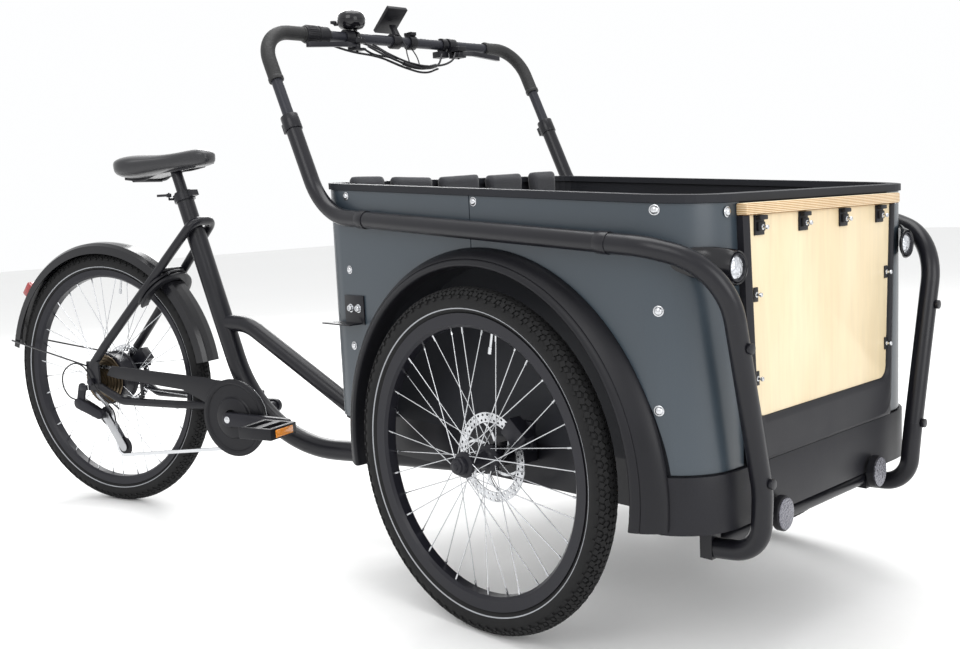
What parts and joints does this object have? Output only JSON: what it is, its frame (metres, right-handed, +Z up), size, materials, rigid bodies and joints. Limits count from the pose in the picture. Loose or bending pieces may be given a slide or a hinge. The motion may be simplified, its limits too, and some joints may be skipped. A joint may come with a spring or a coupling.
{
  "type": "cargo tricycle",
  "caption": "Front-load cargo tricycle with a steel-framed box between the front wheels, push handlebar, step-through rear frame, chain drive and disc brakes.",
  "frame": {"origin": "on the ground at the middle of the whole tricycle's outline seen from above", "axes": "+X is forwards, +Y is to the rider's left, +Z is up"},
  "size_m": [2.2108, 0.9858, 1.1932],
  "materials": {
    "black_steel": "satin black powder coat",
    "panel_paint": "smooth slate blue-grey lacquer",
    "liner": "fine grained black board",
    "birch": "clear lacquered birch plywood",
    "black_plastic": "moulded black plastic",
    "gloss_black": "glossy black plastic",
    "steel": "bright steel",
    "alloy_black": "black anodised",
    "alloy": "brushed",
    "tyre_rubber": "ribbed black rubber",
    "grip_rubber": "stitched wrap",
    "saddle_cover": "black synthetic leather",
    "cushion_fabric": "woven charcoal fabric",
    "lamp": "black shell with clear lens",
    "red_lens": "red lens",
    "cassette_steel": "bronze brown plated"
  },
  "bodies": {
    "front_frame": {"chassis": "black_steel", "tub": "liner", "side_panels_right": "panel_paint", "side_panels_left": "panel_paint", "back_panel": "panel_paint", "front_board": "birch", "canopy_studs": "black_plastic", "dome_bolts": "steel", "fender_right": "black_plastic", "fender_left": "black_plastic", "front_skirt": "black_plastic", "side_tube_right": "black_steel", "side_tube_left": "black_steel", "step_bar": "black_steel", "tube_fittings": "black_steel", "headlights": "lamp", "cushions": "cushion_fabric", "bench": "birch", "battery": "black_plastic", "front_calipers": "alloy_black"},
    "wheel_front_right": {"tyre_front_right": "tyre_rubber", "rim_front_right": "alloy_black", "spokes_front_right": "steel", "hub_front_right": "alloy_black"},
    "wheel_front_left": {"tyre_front_left": "tyre_rubber", "rim_front_left": "alloy_black", "spokes_front_left": "steel", "hub_front_left": "alloy_black"},
    "handlebar": {"handlebar": "black_steel", "grips": "grip_rubber", "bar_fittings": "black_plastic", "bell": "gloss_black", "bar_cables": "black_plastic"},
    "brake_lever_right": {"brake_lever_right": "alloy_black"},
    "brake_lever_left": {"brake_lever_left": "alloy_black"},
    "twist_shifter": {"twist_shifter": "black_plastic"},
    "bell_lever": {"bell_lever": "gloss_black"},
    "display_button": {"display_button": "black_plastic"},
    "rear_frame": {"rear_frame": "black_steel", "chain_guard": "black_plastic", "ring_lock": "black_plastic", "rear_fender": "gloss_black", "tail_light": "red_lens", "derailleur": "alloy_black", "chain": "steel", "rear_caliper": "alloy_black"},
    "seat": {"seat_post": "black_steel", "saddle": "saddle_cover"},
    "clamp_lever": {"clamp_lever": "alloy_black"},
    "lock_shackle": {"lock_shackle": "steel"},
    "guide_pulley": {"guide_pulley": "black_plastic"},
    "tension_pulley": {"tension_pulley": "black_plastic"},
    "wheel_rear": {"tyre_rear": "tyre_rubber", "rim_rear": "alloy_black", "spokes_rear": "steel", "hub_motor": "alloy_black"},
    "cassette": {"cassette": "cassette_steel"},
    "crank_set": {"crank_set": "alloy_black"},
    "pedal_right": {"pedal_right": "black_plastic"},
    "pedal_left": {"pedal_left": "black_plastic"}
  },
  "joints": [
    {"name": "steer", "type": "hinge", "parent": "front_frame", "child": "rear_frame", "pos_m": [0.4481, 0.05394, 0.27], "axis": [0, 0, 1], "range_deg": [-53.4, 16.6]},
    {"name": "front_right_spin", "type": "hinge", "parent": "front_frame", "child": "wheel_front_right", "pos_m": [0.6051, -0.33106, 0.3035], "axis": [0, 1, 0], "continuous": true},
    {"name": "front_left_spin", "type": "hinge", "parent": "front_frame", "child": "wheel_front_left", "pos_m": [0.6051, 0.43894, 0.3035], "axis": [0, 1, 0], "continuous": true},
    {"name": "rear_spin", "type": "hinge", "parent": "rear_frame", "child": "wheel_rear", "pos_m": [-0.77073, -0.35151, 0.3295], "axis": [-0.3156, 0.9489, 0], "continuous": true},
    {"name": "crank_spin", "type": "hinge", "parent": "rear_frame", "child": "crank_set", "pos_m": [-0.32998, -0.20489, 0.26], "axis": [-0.3156, 0.9489, 0], "continuous": true},
    {"name": "cassette_spin", "type": "hinge", "parent": "rear_frame", "child": "cassette", "pos_m": [-0.7559, -0.39611, 0.3295], "axis": [-0.3156, 0.9489, 0], "continuous": true},
    {"name": "guide_pulley_spin", "type": "hinge", "parent": "rear_frame", "child": "guide_pulley", "pos_m": [-0.74024, -0.3909, 0.236], "axis": [-0.3156, 0.9489, 0], "continuous": true},
    {"name": "tension_pulley_spin", "type": "hinge", "parent": "rear_frame", "child": "tension_pulley", "pos_m": [-0.689, -0.37386, 0.158], "axis": [-0.3156, 0.9489, 0], "continuous": true},
    {"name": "pedal_right_spin", "type": "hinge", "parent": "crank_set", "child": "pedal_right", "pos_m": [-0.13931, -0.23315, 0.26], "axis": [-0.3156, 0.9489, 0], "continuous": true},
    {"name": "pedal_left_spin", "type": "hinge", "parent": "crank_set", "child": "pedal_left", "pos_m": [-0.52065, -0.17663, 0.26], "axis": [-0.3156, 0.9489, 0], "continuous": true},
    {"name": "handlebar_height", "type": "slide", "parent": "front_frame", "child": "handlebar", "axis": [-0.4373, 0, 0.8993], "range_m": [-0.06, 0.03]},
    {"name": "brake_right", "type": "hinge", "parent": "handlebar", "child": "brake_lever_right", "pos_m": [0.02986, -0.09606, 1.095], "axis": [0, 0, -1], "range_deg": [0, 12], "stiffness_Nm_per_rad": 6, "springref_deg": -5.73},
    {"name": "brake_left", "type": "hinge", "parent": "handlebar", "child": "brake_lever_left", "pos_m": [0.02986, 0.20394, 1.095], "axis": [0, 0, 1], "range_deg": [0, 12], "stiffness_Nm_per_rad": 6, "springref_deg": -5.73},
    {"name": "shift_twist", "type": "hinge", "parent": "handlebar", "child": "twist_shifter", "pos_m": [-0.00014, -0.18206, 1.117], "axis": [0, 1, 0], "range_deg": [0, 95]},
    {"name": "bell_strike", "type": "hinge", "parent": "handlebar", "child": "bell_lever", "pos_m": [-0.02431, -0.11222, 1.153], "axis": [0, 0, -1], "range_deg": [0, 28], "stiffness_Nm_per_rad": 0.4, "springref_deg": -2.86},
    {"name": "display_press", "type": "slide", "parent": "handlebar", "child": "display_button", "axis": [0, 0, -1], "range_m": [0, 0.001], "stiffness_N_per_m": 800, "springref_m": -0.0005},
    {"name": "saddle_height", "type": "slide", "parent": "rear_frame", "child": "seat", "axis": [-0.2885, -0.096, 0.9527], "range_m": [-0.04, 0.04]},
    {"name": "clamp_open", "type": "hinge", "parent": "rear_frame", "child": "clamp_lever", "pos_m": [-0.50648, -0.2889, 0.791], "axis": [0, 0, 1], "range_deg": [0, 100]},
    {"name": "lock_close", "type": "hinge", "parent": "rear_frame", "child": "lock_shackle", "pos_m": [-0.57336, -0.28585, 0.55256], "axis": [-0.694, -0.2309, 0.682], "range_deg": [0, 138], "stiffness_Nm_per_rad": 0.6, "springref_deg": -17.19}
  ],
  "couplings": [
    {"joint": "cassette_spin", "follows": "crank_spin", "ratio": 2.1111},
    {"joint": "guide_pulley_spin", "follows": "crank_spin", "ratio": -3.4545},
    {"joint": "tension_pulley_spin", "follows": "crank_spin", "ratio": 3.4545}
  ]
}
